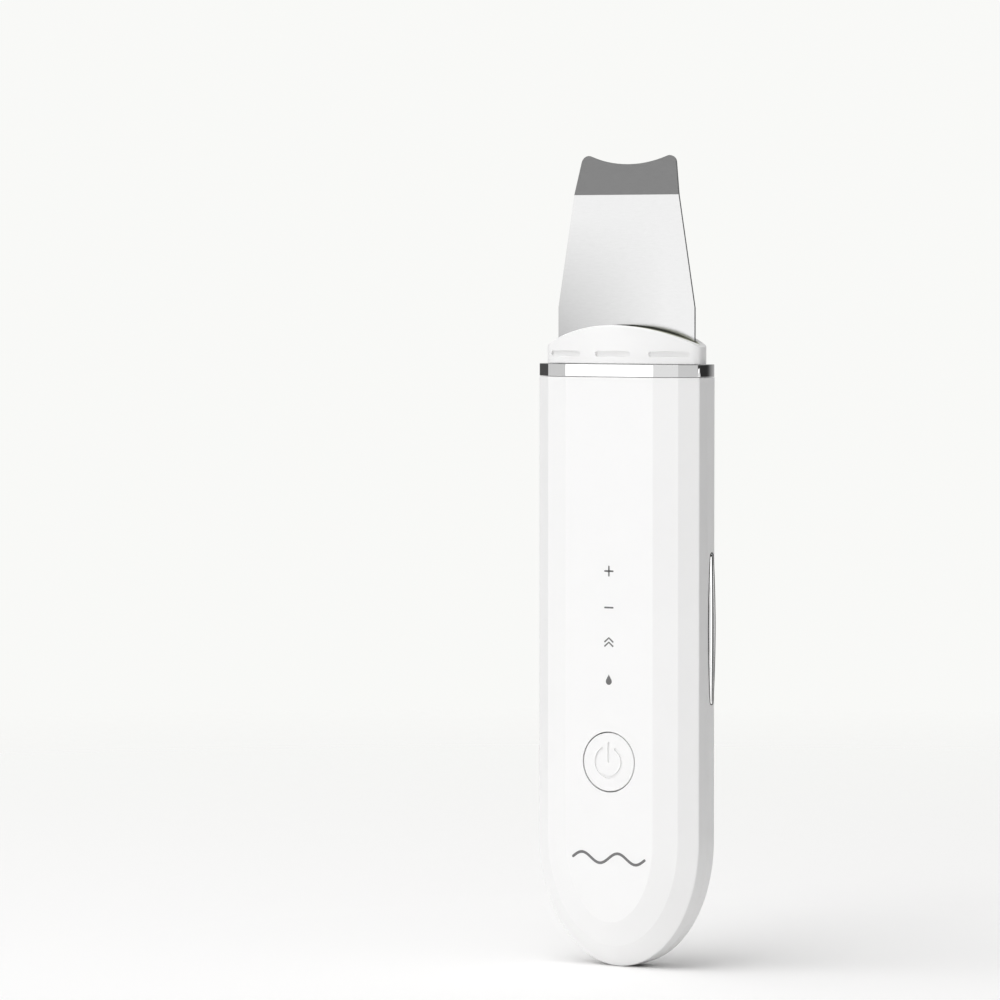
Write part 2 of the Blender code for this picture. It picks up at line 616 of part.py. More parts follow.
def make_light_box():
    """A block with a window for each lamp, which keeps the lamps' light apart behind the front wall."""
    front = -FACET_EDGES[-1][1] + WALL + GAP
    rear = BOARD_FRONT - GAP
    low, high = MARK_HEIGHTS[-1] - 4 * MM, MARK_HEIGHTS[0] + 4 * MM
    middle = (front + rear) / 2
    box = place("light_box", block("light_box", 8.0 * MM, rear - front, high - low), black_plastic,
                (0, middle, (low + high) / 2))
    for number, z in enumerate(MARK_HEIGHTS, start=1):
        window = block("light_window", 5.6 * MM, 4 * (rear - front), 5.0 * MM)
        combine(box, tool(f"light_window_{number}", window, (0, middle, z)))


def make_charging_socket():
    """A metal sleeve and its contact tongue, in the middle of the handle's lower end."""
    length = SOCKET_END - SOCKET_MOUTH
    inner_width = SOCKET_WIDTH - 2 * SOCKET_WALL
    inner_depth = SOCKET_DEPTH - 2 * SOCKET_WALL
    sleeve = plate("usb_socket_shell", [capsule(SOCKET_WIDTH, SOCKET_DEPTH), capsule(inner_width, inner_depth)],
                   length)
    place("usb_socket_shell", sleeve, socket_steel, (0, 0, (SOCKET_MOUTH + SOCKET_END) / 2))
    base_height = 1.5 * MM
    base = plate("usb_socket_tongue", [capsule(inner_width - 2 * GAP, inner_depth - 2 * GAP)], base_height)
    tongue = place("usb_socket_tongue", base, black_plastic, (0, 0, SOCKET_END - base_height / 2))
    blade_base = SOCKET_MOUTH + 1.0 * MM
    blade = block("tongue_blade", 6.7 * MM, 0.7 * MM, SOCKET_END - base_height / 2 - blade_base)
    combine(tongue, tool("tongue_blade", blade, (0, 0, (SOCKET_END - base_height / 2 + blade_base) / 2)), "UNION")


# ---------------------------------------------------------------- cell and leads

def make_battery():
    """A flat rechargeable cell behind the board, on a foam pad against the rear wall."""
    cell_front, cell_rear, pad_rear = 0.9 * MM, 4.9 * MM, 5.5 * MM
    low, high = 44.0 * MM, 94.0 * MM
    cell = place("battery_cell", block("battery_cell", 22.0 * MM, cell_rear - cell_front, high - low),
                 cell_foil, (0, (cell_front + cell_rear) / 2, (low + high) / 2))
    bevel = cell.modifiers.new("soft corners", "BEVEL")
    bevel.width = 1.0 * MM
    bevel.segments = 3
    pad_front = cell_rear + SEAM
    place("battery_pad", block("battery_pad", 20.0 * MM, pad_rear - pad_front, high - low - 6 * MM),
          foam, (0, (pad_front + pad_rear) / 2, (low + high) / 2))
    on_rear = BOARD_REAR + GAP + WIRE_RADIUS
    from_cell = high + GAP
    for word, x, insulation in (("red", -6.0 * MM, red_insulation), ("black", 6.0 * MM, black_plastic)):
        points = [(x, 2.9 * MM, from_cell), (x, 2.9 * MM, from_cell + 1.6 * MM),
                  (x, 2.2 * MM, from_cell + 2.9 * MM), (x, on_rear, from_cell + 4.0 * MM),
                  (x, on_rear, from_cell + 5.4 * MM)]
        place(f"battery_lead_{word}", wire("battery_lead", points, WIRE_RADIUS), insulation)


def make_piezo_leads():
    disc_face = BLADE_THICKNESS / 2 + SEAM + PIEZO_THICKNESS
    for word, side, x, insulation in (("red", FRONT, 4.0 * MM, red_insulation),
                                      ("black", REAR, -4.0 * MM, black_plastic)):
        board_face = BOARD_FRONT if side == FRONT else BOARD_REAR
        at_board = board_face + side * (GAP + WIRE_RADIUS)
        at_disc = side * (disc_face + GAP + WIRE_RADIUS)
        points = [(x, at_board, 101.0 * MM), (x, at_board, 103.4 * MM), (x, (at_board + at_disc) / 2, 105.0 * MM),
                  (x, at_disc, 106.6 * MM), (x, at_disc, 112.5 * MM)]
        place(f"piezo_lead_{word}", wire("piezo_lead", points, WIRE_RADIUS), insulation)


# ---------------------------------------------------------------- the whole model

clear_scene()
model = new_collection("skin_scrubber")
cutters = new_collection("cutters")

white_plastic = new_material("white_plastic", (0.86, 0.86, 0.85), 0.3)
chrome = new_material("chrome", (0.80, 0.80, 0.81), 0.06, 1.0)
blade_steel = new_material("blade_steel", (0.66, 0.66, 0.67), 0.22, 1.0)
screw_steel = new_material("screw_steel", (0.45, 0.45, 0.46), 0.35, 1.0)
socket_steel = new_material("socket_steel", (0.55, 0.55, 0.56), 0.3, 1.0)
spring_bronze = new_material("spring_bronze", (0.72, 0.48, 0.26), 0.3, 1.0)
seal_rubber = new_material("seal_rubber", (0.13, 0.13, 0.11), 0.7)
piezo_ceramic = new_material("piezo_ceramic", (0.75, 0.72, 0.64), 0.4)
grey_plastic = new_material("grey_plastic", (0.40, 0.41, 0.42), 0.5)
black_plastic = new_material("black_plastic", (0.03, 0.03, 0.03), 0.5)
board_green = new_material("board_green", (0.02, 0.16, 0.07), 0.4)
ferrite = new_material("ferrite", (0.10, 0.10, 0.11), 0.6)
capacitor_blue = new_material("capacitor_blue", (0.03, 0.06, 0.25), 0.35)
led_lens = new_material("led_lens", (0.90, 0.86, 0.60), 0.2)
cell_foil = new_material("cell_foil", (0.60, 0.61, 0.63), 0.35, 0.8)
foam = new_material("foam", (0.16, 0.16, 0.17), 0.9)
red_insulation = new_material("red_insulation", (0.55, 0.03, 0.02), 0.45)

make_front_housing()
make_rear_housing()
make_trim_band()
make_head_collar()
make_scraper_blade()
make_blade_seal()
make_transducer()
make_power_button()
make_switch()
make_contact_bars()
make_main_board()
make_board_components()
make_light_box()
make_charging_socket()
make_battery()
make_piezo_leads()
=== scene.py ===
"""Looks of the skin scrubber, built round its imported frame. Lengths are in metres."""
import json
import math

import bmesh
import bpy
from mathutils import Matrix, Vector


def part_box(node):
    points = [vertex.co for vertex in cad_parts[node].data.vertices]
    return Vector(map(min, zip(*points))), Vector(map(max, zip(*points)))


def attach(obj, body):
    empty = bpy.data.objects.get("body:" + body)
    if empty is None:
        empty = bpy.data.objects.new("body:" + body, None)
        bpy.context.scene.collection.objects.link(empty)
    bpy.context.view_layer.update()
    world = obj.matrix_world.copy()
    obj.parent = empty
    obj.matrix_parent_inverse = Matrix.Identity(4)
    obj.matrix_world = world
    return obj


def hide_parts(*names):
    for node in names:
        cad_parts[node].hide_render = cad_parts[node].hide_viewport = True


MM = 0.001

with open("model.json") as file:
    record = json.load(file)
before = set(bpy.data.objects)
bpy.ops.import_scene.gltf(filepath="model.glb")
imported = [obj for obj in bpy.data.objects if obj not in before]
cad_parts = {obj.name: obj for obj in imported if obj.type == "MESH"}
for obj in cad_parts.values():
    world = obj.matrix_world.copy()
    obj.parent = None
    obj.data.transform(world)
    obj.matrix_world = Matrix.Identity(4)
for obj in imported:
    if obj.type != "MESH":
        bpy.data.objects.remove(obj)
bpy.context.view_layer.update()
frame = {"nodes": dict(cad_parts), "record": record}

# ---------------------------------------------------------------- sizes, from the frame where it has them

handle_low, handle_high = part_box("front_housing")
collar_low, collar_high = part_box("head_collar")
seal_low, seal_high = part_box("blade_seal")
bar_low, bar_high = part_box("hand_electrode_right")
blade_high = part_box("scraper_blade")[1]
button_low, button_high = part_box("power_button")
socket_low, socket_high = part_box("usb_socket_shell")
band_low, band_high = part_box("trim_band")

FRONT, REAR = -1, 1
PAST = 1.0 * MM                       # how far a cutter reaches beyond what it cuts

HALF_WIDTH = handle_high.x
HANDLE_TOP = handle_high.z
FLAT_DEPTH = -handle_low.y            # of the front and rear flats, from the joint plane
END_CENTRE = 27.8 * MM
END_DROP = 27.9 * MM
END_WIDENING = 0.7 * MM               # how much wider the outer facets are below the end
END_STEPS = 128
JOINT_GAP = 0.02 * MM
WALL = 1.5 * MM
# The edges between the facets, as (inset from the outline, depth from the joint plane)
FACET_EDGES = ((0.15 * MM, 3.3 * MM), (4.0 * MM, 5.75 * MM), (9.35 * MM, FLAT_DEPTH))
INNER_EDGES = ((WALL, -PAST), (WALL, 2.7 * MM), (4.6 * MM, 4.5 * MM), (9.6 * MM, FLAT_DEPTH - WALL))
EDGE_ROUNDING = (0.55 * MM, 0.16 * MM, 0.7 * MM)    # of those edges, from the joint outwards
ROUNDING_STEPS = 6
SOCKET_GAP = 0.1 * MM

BAND_ROUNDING = (0.8 * MM, 0.05 * MM, 0.05 * MM)
BAND_EDGE = 0.1 * MM                  # of its upper and lower rims
BAND_EDGE_MIDDLE = 0.03 * MM
BAND_OPENING = (0.877, 0.62)          # its share of the band's width and depth

COLLAR_PLAN_RADIUS = 48.2 * MM
COLLAR_ARCH_RADIUS = 43.8 * MM
COLLAR_WALL = 1.0 * MM
COLLAR_CORNER = 1.5 * MM              # rounding of its upright edges
COLLAR_CORNER_STEPS = 8
COLLAR_RIM = 0.3 * MM                 # rounding of the rim
COLLAR_RIM_STEPS = 6
COLLAR_RIM_FALL = 0.04 * MM           # of the rim's top, inwards
COLLAR_FOOT = 0.12 * MM               # slanted edge round its base
LENS_HALF_LENGTH = 18.8 * MM          # of the opening in the rim, which ends in points
LENS_RIM = 0.85 * MM
LENS_POWER = 8
COLLAR_STEPS = 72
GROOVE_LENGTH = 8.9 * MM
GROOVE_HEIGHT = 1.2 * MM
GROOVE_DEPTH = 0.7 * MM
GROOVE_MOUTH = 0.14 * MM              # how far its mouth flares
GROOVE_Z = 133.1 * MM
GROOVE_PITCH = 13.05 * MM

SEAL_DROP = 0.12 * MM                 # under the rim
SEAL_END_GAP = 0.15 * MM
SEAL_OVERLAP = 0.05 * MM              # into the head's wall
SEAL_COLUMNS, SEAL_ROWS = 96, 24
LIP_HALF_DEPTH = 1.0 * MM

BAR_END_HALF_WIDTH = 0.8 * MM
BAR_STEPS = 40
BAR_GAP = 0.15 * MM                   # between a bar's outline and its slot
BAR_FLANGE = 0.5 * MM                 # how much wider a bar's flange is than its ridge, in the middle
BAR_CROWN = 0.9 * MM                  # of a bar's face across its width
BAR_END_ROLL = 0.4 * MM
BAR_CROWN_STEPS = 14
BAR_FLANGE_MARGIN = 0.1 * MM          # the flange nearly fills the slot
BAR_FLANGE_DEPTH = 0.12 * MM          # below the handle's side

BUTTON_Z = (button_low.z + button_high.z) / 2
BUTTON_RADIUS = 6.34 * MM
BUTTON_HOLE_RADIUS = 6.6 * MM
BUTTON_THICKNESS = 1.5 * MM
BUTTON_EDGE = 0.2 * MM
BUTTON_EDGE_STEPS = 5
BUTTON_FLANGE = (1.6 * MM, 2.2 * MM)  # its front and rear, behind the front flat
SYMBOL_RADIUS = 3.25 * MM
SYMBOL_LINE = 0.6 * MM
SYMBOL_DEPTH = 0.3 * MM
SYMBOL_OPENING = math.radians(30)     # to each side of straight up
SYMBOL_STROKE = (0.2 * MM, 4.1 * MM)  # its lower and upper end, above the button's middle

PAINTED_SHADE_HEIGHT = 32 * MM                # of the painted shade on the blade, from the head's base

PRINT_RISE = 0.02 * MM
PRINT_SINK = 0.05 * MM
MARK_SIZE = 1.0 * MM
MARK_LINE = 0.36 * MM
WAVE_LENGTH = 18 * MM
WAVE_Z = 23.9 * MM
WAVE_RISE = 1.1 * MM
WAVE_LINE = 0.6 * MM
WAVE_STEPS = 96

# ---------------------------------------------------------------- studio values

CAMERA_AZIMUTH = math.radians(31.0)
CAMERA_DISTANCE = 1185.3 * MM
CAMERA_HEIGHT = 151.1 * MM
CAMERA_LENS = 196.6                   # in the camera's own units
AIM_SIDEWAYS = -27.45 * MM
AIM_HEIGHT = 101.3 * MM

# The light tent's brightness round the object: (azimuth in degrees from straight in front, strength)
TENT = ((-180, 0.9), (-150, 0.4), (-120, 0.35), (-103, 0.08), (-88, 0.08), (-76, 0.6), (-50, 0.75),
        (-44, 1.5), (-18, 1.5), (-12, 0.84), (14, 0.82), (20, 0.64), (48, 0.64), (58, 0.5), (62, 1.5),
        (92, 1.5), (98, 0.25), (112, 0.2), (126, 0.03), (150, 0.03), (156, 0.5), (170, 0.85), (180, 0.95))
# The tent's other zones: (sine of the elevation at its edge and once full, strength left, strength right)
ZONES = ((0.10, 0.17, 0.36, 0.04), (0.45, 0.65, 0.50, 0.46), (-0.12, -0.20, 0.8, 0.8))
RIGHT_START, RIGHT_END = -0.1, 0.9    # sideways share over which left turns into right
PAPER = 0.945                         # how bright the empty background looks

# Softboxes: (name, azimuth and elevation in degrees, distance, side length, power, seen in reflections)
LAMPS = (("key light", -30, 60, 2.4, 2.6, 42.0, True), ("fill light", 2, 8, 2.4, 1.2, 9.0, False),
         ("top light", 0, 89, 1.5, 0.7, 2.2, True))
LAMP_AIM_HEIGHT = 0.09

FLOOR_RADIUS = 1.2
FLOOR_FADE = (0.12, 0.7)              # distances over which it fades into the background


# ---------------------------------------------------------------- mesh helpers

def arc(centre_x, centre_y, radius, start, end, steps):
    angles = [start + (end - start) * step / steps for step in range(steps + 1)]
    return [(centre_x + radius * math.cos(a), centre_y + radius * math.sin(a)) for a in angles]


def new_piece(name, mesh, material, body=None):
    piece = bpy.data.objects.new(name, mesh)
    bpy.context.scene.collection.objects.link(piece)
    mesh.materials.append(material)
    if body:
        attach(piece, body)
    return piece


def mesh_from(name, bm):
    bmesh.ops.recalc_face_normals(bm, faces=bm.faces)
    if bm.calc_volume(signed=True) < 0:
        bmesh.ops.reverse_faces(bm, faces=bm.faces)
    mesh = bpy.data.meshes.new(name)
    bm.to_mesh(mesh)
    bm.free()
    return mesh


def loft(name, rings):
    """A closed solid through rings of 3-D points that all have the same count."""
    bm = bmesh.new()
    rows = [[bm.verts.new(point) for point in ring] for ring in rings]
    for lower, upper in zip(rows, rows[1:]):
        for i in range(len(lower)):
            j = (i + 1) % len(lower)
            bm.faces.new((lower[i], lower[j], upper[j], upper[i]))
    bm.faces.new(rows[0])
    bm.faces.new(rows[-1])
    return mesh_from(name, bm)


def swept_ring(name, rings):
    """A closed band through rings of points, whose last ring joins its first."""
    bm = bmesh.new()
    rows = [[bm.verts.new(point) for point in ring] for ring in rings]
    for lower, upper in zip(rows, [*rows[1:], rows[0]]):
        for i in range(len(lower)):
            j = (i + 1) % len(lower)
            bm.faces.new((lower[i], lower[j], upper[j], upper[i]))
    return mesh_from(name, bm)


def cut(piece, mesh, operation="DIFFERENCE"):
    """Applies a Boolean with another solid at once, so that no cutter is left in the scene."""
    other = bpy.data.objects.new("cutter", mesh)
    bpy.context.scene.collection.objects.link(other)
    modifier = piece.modifiers.new("cut", "BOOLEAN")
    modifier.operation = operation
    modifier.solver = "EXACT"
    modifier.object = other
    bake(piece)
    bpy.data.objects.remove(other)


def bake(piece):
    """Turns a piece's modifiers into its mesh."""
    bpy.context.view_layer.update()
    evaluated = piece.evaluated_get(bpy.context.evaluated_depsgraph_get())
    mesh = bpy.data.meshes.new_from_object(evaluated)
    piece.modifiers.clear()
    piece.data = mesh


def smooth(piece, sharp=30.0):
    """Smooth shading that keeps edges sharper than this many degrees, and keeps flat faces flat."""
    piece.data.polygons.foreach_set("use_smooth", [True] * len(piece.data.polygons))
    piece.data.set_sharp_from_angle(angle=math.radians(sharp))
    modifier = piece.modifiers.new("weighted normals", "WEIGHTED_NORMAL")
    modifier.keep_sharp = True
    bake(piece)


def rounded_corners(corners, radii, steps):
    """An open run of 2-D corners whose inner ones are rounded. The two ends stay."""
    points = [corners[0]]
    for before, corner, after, radius in zip(corners, corners[1:], corners[2:], radii):
        here = Vector(corner)
        towards = [(Vector(other) - here).normalized() for other in (before, after)]
        half = towards[0].angle(towards[1]) / 2
        reach = radius / math.tan(half)
        centre = here + (towards[0] + towards[1]).normalized() * (radius / math.sin(half))
        first = here + towards[0] * reach - centre
        last = here + towards[1] * reach - centre
        turn = first.angle_signed(last)
        for step in range(steps + 1):
            angle = -turn * step / steps
            points.append((centre.x + first.x * math.cos(angle) - first.y * math.sin(angle),
                           centre.y + first.x * math.sin(angle) + first.y * math.cos(angle)))
    return [*points, corners[-1]]


def stroke(points, width):
    """The outline of a pen line through 2-D points, with round ends."""
    half = width / 2
    left, right = [], []
    for i, point in enumerate(points):
        before = Vector(points[max(i - 1, 0)])
        after = Vector(points[min(i + 1, len(points) - 1)])
        along = (after - before).normalized()
        across = Vector((-along.y, along.x)) * half
        left.append(tuple(Vector(point) + across))
        right.append(tuple(Vector(point) - across))
    ends = []
    for inner, outer in ((points[-2], points[-1]), (points[1], points[0])):
        heading = math.atan2(outer[1] - inner[1], outer[0] - inner[0])
        ends.append(arc(outer[0], outer[1], half, heading + math.pi / 2, heading - math.pi / 2, 8)[1:-1])
    return [*left, *ends[0], *reversed(right), *ends[1]]


def plate(name, outlines, front, back):
    """Upright plates, from 2-D outlines in X and Z, between two places on Y."""
    bm = bmesh.new()
    for outline in outlines:
        rows = [[bm.verts.new((x, y, z)) for x, z in outline] for y in (front, back)]
        for i in range(len(outline)):
            j = (i + 1) % len(outline)
            bm.faces.new((rows[0][i], rows[0][j], rows[1][j], rows[1][i]))
        bm.faces.new(rows[0])
        bm.faces.new(rows[1])
    return mesh_from(name, bm)


def capsule(length, width, centre=(0.0, 0.0), steps=12):
    """A lying pill shape."""
    half = width / 2
    reach = length / 2 - half
    right = arc(centre[0] + reach, centre[1], half, -math.pi / 2, math.pi / 2, steps)
    left = arc(centre[0] - reach, centre[1], half, math.pi / 2, 3 * math.pi / 2, steps)
    return [*right, *left]


# ---------------------------------------------------------------- materials

COLOUR_A, COLOUR_B, COLOUR_OUT = 6, 7, 2    # a Mix node's colour sockets
COLOUR_DRIFT = 60.0                         # bumps per metre


def add_node(tree, kind, inputs=(), **settings):
    """A node whose inputs are linked where the value is a socket, and set where it is a plain value."""
    node = tree.nodes.new(kind)
    for key, value in settings.items():
        setattr(node, key, value)
    for key, value in dict(inputs).items():
        if isinstance(value, bpy.types.NodeSocket):
            tree.links.new(value, node.inputs[key])
        else:
            node.inputs[key].default_value = value
    return node


class Graph:
    """A material's node tree, with its Principled shader, built a node at a time."""

    def __init__(self, name):
        self.material = bpy.data.materials.new(name)
        self.material.use_nodes = True
        self.tree = self.material.node_tree
        self.shader = self.tree.nodes["Principled BSDF"]
        self.place = self.tree.nodes.new("ShaderNodeTexCoord").outputs["Object"]

    def add(self, kind, inputs=(), **settings):
        return add_node(self.tree, kind, inputs, **settings)

    def noise(self, scale, stretch=(1, 1, 1), detail=4.0):
        """A noise of about that many bumps per metre, stretched along the axes."""
        where = self.add("ShaderNodeMapping", {"Vector": self.place, "Scale": stretch})
        made = self.add("ShaderNodeTexNoise", {"Vector": where.outputs["Vector"], "Scale": scale,
                                               "Detail": detail})
        return made.outputs["Fac"]

    def span(self, value, low, high, start=0.3, end=0.7):
        made = self.add("ShaderNodeMapRange", {"Value": value, "From Min": start, "From Max": end,
                                               "To Min": low, "To Max": high})
        return made.outputs["Result"]

    def blend(self, factor, first, second):
        made = self.add("ShaderNodeMix", data_type="RGBA")
        made.inputs[COLOUR_A].default_value = (*first, 1)
        made.inputs[COLOUR_B].default_value = (*second, 1)
        self.tree.links.new(factor, made.inputs[0])
        return made.outputs[COLOUR_OUT]

    def connect(self, value, socket):
        self.tree.links.new(value, self.shader.inputs[socket])

    def bump(self, height, depth, strength=1.0):
        made = self.add("ShaderNodeBump", {"Height": height, "Distance": depth, "Strength": strength})
        self.connect(made.outputs["Normal"], "Normal")


def finish(name, light, dark, roughness, grain, bump=0.0, metallic=0.0, stretch=(1, 1, 1), detail=4.0,
           **sockets):
    """A finish whose colour drifts between two tones over centimetres and whose gloss and relief
    follow a fine grain, of that many bumps per metre."""
    graph = Graph(name)
    drift = graph.noise(COLOUR_DRIFT)
    fine = graph.noise(grain, stretch, detail)
    graph.connect(graph.blend(graph.span(drift, 0.0, 1.0), light, dark), "Base Color")
    graph.connect(graph.span(fine, roughness[0], roughness[1]), "Roughness")
    graph.shader.inputs["Metallic"].default_value = metallic
    for key, value in sockets.items():
        graph.shader.inputs[key.replace("_", " ")].default_value = value
    if bump:
        graph.bump(fine, bump)
    return graph.material


def grey(value, warmth=0.0):
    return (value * (1 + warmth), value, value * (1 - warmth))


def blade_finish():
    """Finely rolled steel, with painted shade low on its left: a darker reflection painted into its colour,
    which fades upwards and to the right.
    """
    graph = Graph("blade_steel")
    parts = graph.add("ShaderNodeSeparateXYZ", {"Vector": graph.place})
    leftwards = graph.span(parts.outputs["X"], 1.0, 0.0, -blade_high.x, 0.6 * blade_high.x)
    downwards = graph.span(parts.outputs["Z"], 1.0, 0.0, collar_low.z, collar_low.z + PAINTED_SHADE_HEIGHT)
    painted_shade = graph.add("ShaderNodeMath", {0: leftwards, 1: downwards}, operation="MULTIPLY").outputs[0]
    rolled = graph.noise(500.0, (1, 1, 9))
    tone = graph.add("ShaderNodeMath", {0: rolled, 1: 0.06, 2: painted_shade}, operation="MULTIPLY_ADD").outputs[0]
    # painted shade: the base colour darkens from 0.60 to 0.33 low on the left, standing in for a darker
    # reflection
    graph.connect(graph.blend(graph.span(tone, 0.0, 1.0, 0.03, 1.0), grey(0.60), grey(0.33)), "Base Color")
    graph.connect(graph.span(rolled, 0.13, 0.18), "Roughness")
    graph.shader.inputs["Metallic"].default_value = 1.0
    graph.bump(rolled, 0.001 * MM)
    return graph.material


def seal_finish():
    """Silicone that is pale olive towards the collar's rim, with painted shade that darkens it down towards
    the blade.
    """
    graph = Graph("seal_rubber")
    parts = graph.add("ShaderNodeSeparateXYZ", {"Vector": graph.place})
    across = graph.add("ShaderNodeMath", {0: parts.outputs["Y"]}, operation="ABSOLUTE").outputs[0]
    sideways = graph.add("ShaderNodeMath", {0: parts.outputs["X"]}, operation="ABSOLUTE").outputs[0]
    squared = graph.add("ShaderNodeMath", {0: sideways, 1: 2.0}, operation="POWER").outputs[0]
    bent = graph.add("ShaderNodeMath", {0: squared, 1: 0.5 / COLLAR_PLAN_RADIUS, 2: across},
                     operation="MULTIPLY_ADD").outputs[0]
    rim = collar_high.y - LENS_RIM
    from_side = graph.span(bent, 0.0, 1.0, rim - 2.6 * MM, rim - 1.2 * MM)
    from_end = graph.span(sideways, 0.0, 1.0, blade_high.x, blade_high.x + 0.8 * MM)
    share = graph.add("ShaderNodeMath", {0: from_side, 1: from_end}, operation="MAXIMUM").outputs[0]
    # painted shade: near black at the blade, through dark olive, to the pale olive rubber at the rim,
    # standing in for shade in the gap
    ramp = graph.add("ShaderNodeValToRGB", {"Fac": share})
    ramp.color_ramp.elements[0].color = (0.018, 0.020, 0.014, 1)
    ramp.color_ramp.elements[1].color = (0.46, 0.47, 0.38, 1)
    middle = ramp.color_ramp.elements.new(0.5)
    middle.color = (0.12, 0.125, 0.09, 1)
    grain = graph.noise(2500.0)
    graph.connect(ramp.outputs["Color"], "Base Color")
    graph.connect(graph.span(grain, 0.75, 0.9), "Roughness")
    graph.shader.inputs["Specular IOR Level"].default_value = 0.15
    graph.bump(grain, 0.01 * MM)
    return graph.material


finishes = {
    "white_plastic": finish("white_plastic", grey(0.865, 0.002), grey(0.855, 0.002), (0.29, 0.32), 1400.0,
                            detail=0.0, Specular_IOR_Level=0.8),
    "chrome": finish("chrome", grey(0.88), grey(0.86), (0.03, 0.07), 900.0, metallic=1.0),
    "blade_steel": blade_finish(),
    "screw_steel": finish("screw_steel", grey(0.45), grey(0.38), (0.3, 0.45), 3000.0, bump=0.005 * MM,
                          metallic=1.0),
    "socket_steel": finish("socket_steel", grey(0.56), grey(0.5), (0.3, 0.42), 3000.0, bump=0.003 * MM,
                           metallic=1.0, stretch=(1, 1, 0.2)),
    "spring_bronze": finish("spring_bronze", (0.72, 0.48, 0.26), (0.62, 0.38, 0.18), (0.25, 0.4), 4000.0,
                            metallic=1.0),
    "seal_rubber": seal_finish(),
    "piezo_ceramic": finish("piezo_ceramic", (0.77, 0.74, 0.66), (0.70, 0.67, 0.58), (0.5, 0.7), 5000.0,
                            bump=0.006 * MM),
    "grey_plastic": finish("grey_plastic", grey(0.42), grey(0.36), (0.45, 0.6), 4000.0, bump=0.01 * MM),
    "black_plastic": finish("black_plastic", grey(0.035), grey(0.022), (0.4, 0.6), 4000.0, bump=0.01 * MM),
    "board_green": finish("board_green", (0.02, 0.17, 0.07), (0.015, 0.12, 0.05), (0.25, 0.4), 1500.0,
                          bump=0.01 * MM),
    "ferrite": finish("ferrite", grey(0.11), grey(0.08), (0.55, 0.75), 6000.0, bump=0.015 * MM),
    "capacitor_blue": finish("capacitor_blue", (0.03, 0.06, 0.26), (0.02, 0.04, 0.2), (0.2, 0.35), 1200.0),
    "led_lens": finish("led_lens", (0.92, 0.88, 0.62), (0.86, 0.80, 0.5), (0.12, 0.2), 900.0,
                       Transmission_Weight=0.4),
    "cell_foil": finish("cell_foil", grey(0.62), grey(0.54), (0.3, 0.5), 400.0, bump=0.03 * MM, metallic=1.0),
    "foam": finish("foam", grey(0.17), grey(0.12), (0.85, 0.95), 5000.0, bump=0.08 * MM),
    "red_insulation": finish("red_insulation", (0.56, 0.03, 0.02), (0.45, 0.02, 0.015), (0.35, 0.5), 3000.0),
    "print_grey": finish("print_grey", grey(0.17), grey(0.13), (0.4, 0.5), 5000.0, bump=0.002 * MM),
}

for subpart in frame["record"]["subparts"]:
    for material_slot in frame["nodes"][subpart["node"]].material_slots:
        material_slot.material = finishes[subpart["material_slot"]]


# ---------------------------------------------------------------- casing

def handle_outline(inset):
    """The handle's outline in X and Z, moved inwards: an open-ended U on a half-ellipse."""
    half_width = HALF_WIDTH - inset
    drop = END_DROP - inset - END_WIDENING * min(max(inset, 0) / FACET_EDGES[1][0], 1.0)
    angles = [math.pi * step / END_STEPS for step in range(END_STEPS + 1)]
    return [(half_width * math.cos(a), END_CENTRE - drop * math.sin(a)) for a in angles]


def half_handle(name, profile, top, side):
    """Half of the handle's shape, through (inset, depth) pairs from the joint out to the flat."""
    rings = []
    for inset, depth in profile:
        low = handle_outline(inset)
        outline = [(low[0][0], top), *low, (low[-1][0], top)]
        rings.append([(x, side * depth, z) for x, z in outline])
    return loft(name, rings)


def bar_outline(margin, slimmer=0.0):
    """A contact bar seen from the side: (Y, Z), widest in the middle, with blunt round ends."""
    half_length = (bar_high.z - bar_low.z) / 2 + margin
    middle_y, middle_z = (bar_low.y + bar_high.y) / 2, (bar_low.z + bar_high.z) / 2
    bulge = (bar_high.y - bar_low.y) / 2 - BAR_END_HALF_WIDTH - slimmer
    end = BAR_END_HALF_WIDTH + margin
    side = []
    for step in range(BAR_STEPS + 1):
        t = 2 * step / BAR_STEPS - 1
        side.append((end + bulge * (1 - t * t), t * (half_length - end)))
    top = arc(0, half_length - end, end, 0, math.pi, 10)[1:-1]
    left = [(-y, z) for y, z in reversed(side)]
    bottom = [(y, -z) for y, z in reversed(top)]
    return [(middle_y + y, middle_z + z) for y, z in [*side, *top, *left, *bottom]]


def shell(name, side):
    """One half of the casing, hollow, with its half of the socket's hole."""
    corners = [(0.0, JOINT_GAP), *FACET_EDGES, (FACET_EDGES[-1][0] + 2 * MM, FLAT_DEPTH)]
    outside = rounded_corners(corners, EDGE_ROUNDING, ROUNDING_STEPS)[:-1]
    piece = new_piece(name, half_handle(name, outside, HANDLE_TOP, side), finishes["white_plastic"])
    cut(piece, half_handle("inside", INNER_EDGES, HANDLE_TOP + PAST, side))
    hole_width = socket_high.x - socket_low.x + 2 * SOCKET_GAP
    hole_depth = socket_high.y - socket_low.y + 2 * SOCKET_GAP
    hole = capsule(hole_width, hole_depth)
    cut(piece, loft("socket_hole", [[(x, y, z) for x, y in hole] for z in (-PAST, 3 * WALL)]))
    return piece


def make_front_shell():
    piece = shell("front_shell", FRONT)
    circle = arc(0, BUTTON_Z, BUTTON_HOLE_RADIUS, 0, 2 * math.pi, 128)[:-1]
    cut(piece, plate("button_hole", [circle], -FLAT_DEPTH - PAST, -FLAT_DEPTH + 2 * WALL))
    smooth(piece)
    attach(piece, "handle")
    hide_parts("front_housing")


def make_rear_shell():
    piece = shell("rear_shell", REAR)
    for direction in (-1, 1):
        rings = [[(direction * x, y, z) for y, z in bar_outline(BAR_GAP)]
                 for x in (HALF_WIDTH - 2 * WALL, HALF_WIDTH + PAST)]
        cut(piece, loft("bar_slot", rings))
    smooth(piece)
    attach(piece, "handle")
    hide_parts("rear_housing")


